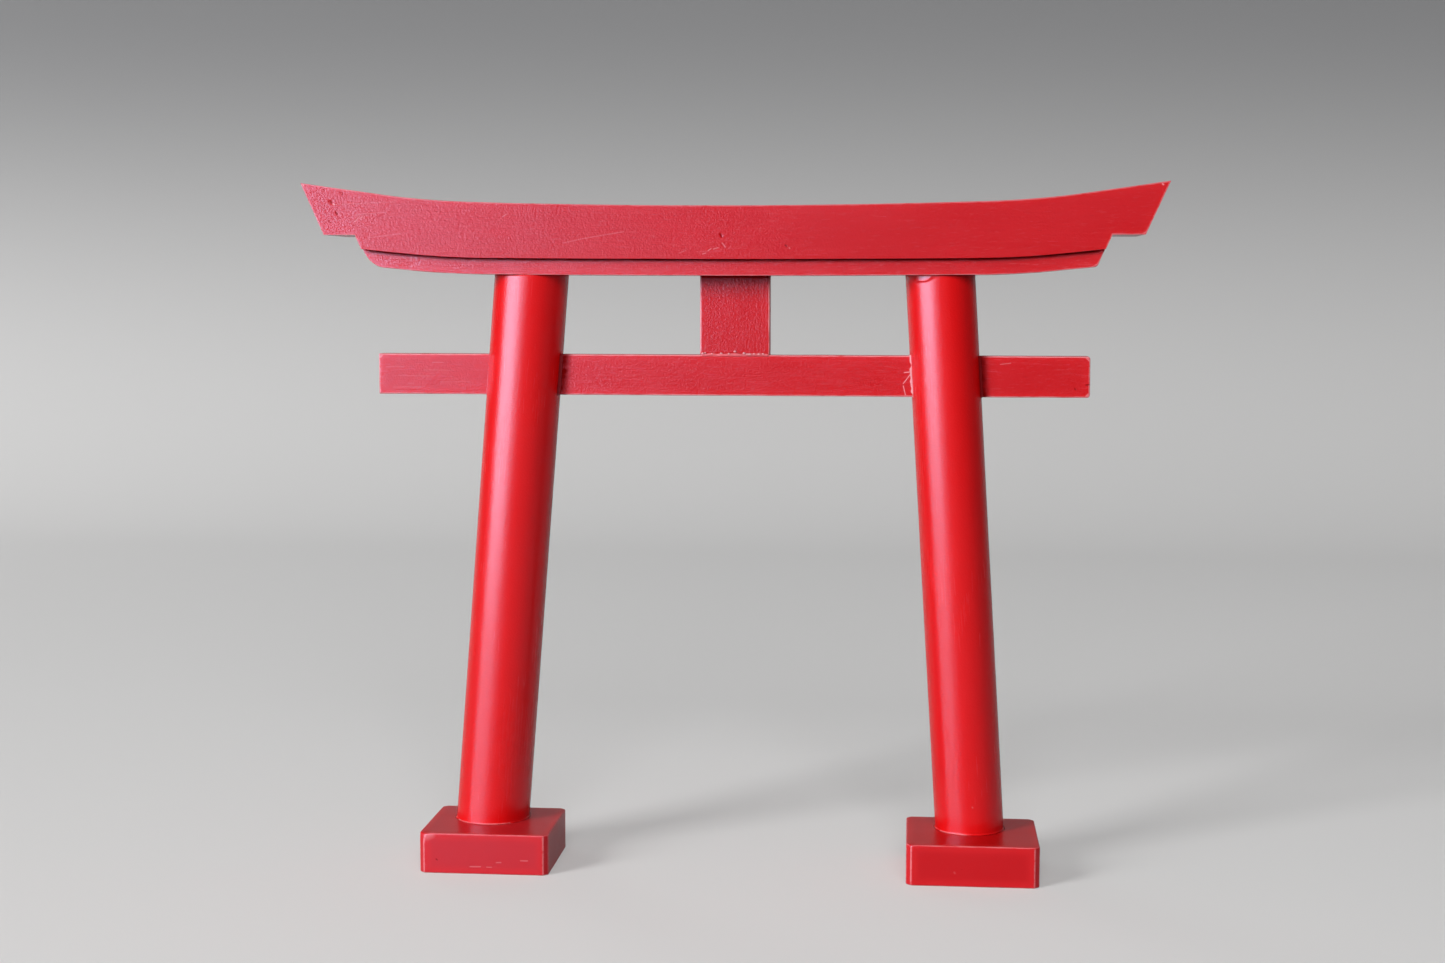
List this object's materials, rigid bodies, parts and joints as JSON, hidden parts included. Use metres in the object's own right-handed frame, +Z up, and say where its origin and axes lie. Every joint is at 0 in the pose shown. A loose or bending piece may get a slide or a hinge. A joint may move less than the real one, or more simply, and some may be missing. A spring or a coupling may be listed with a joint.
{
  "type": "model torii gate",
  "caption": "Small painted wooden model of a torii gate: leaning round posts on block feet, a through tie beam, a short strut and a stepped lintel with upswept raked tips.",
  "frame": {"origin": "on the table, under the middle of the gate's overall box", "axes": "+Z up, +X along the lintel to the right of someone facing the gate, -Y towards that person"},
  "size_m": [0.3004, 0.0424, 0.2422],
  "materials": {
    "lintel_paint": "satin vermilion paint brushed along the grain",
    "strip_paint": "satin vermilion paint over fine straight grain",
    "post_paint": "smooth satin vermilion paint",
    "foot_paint": "satin vermilion paint with light sawn streaks"
  },
  "bodies": {
    "root": {"kasagi": "lintel_paint", "shimaki": "lintel_paint", "gakuzuka": "strip_paint", "nuki": "strip_paint", "left_post": "post_paint", "right_post": "post_paint", "left_foot_block": "foot_paint", "right_foot_block": "foot_paint"}
  },
  "joints": []
}
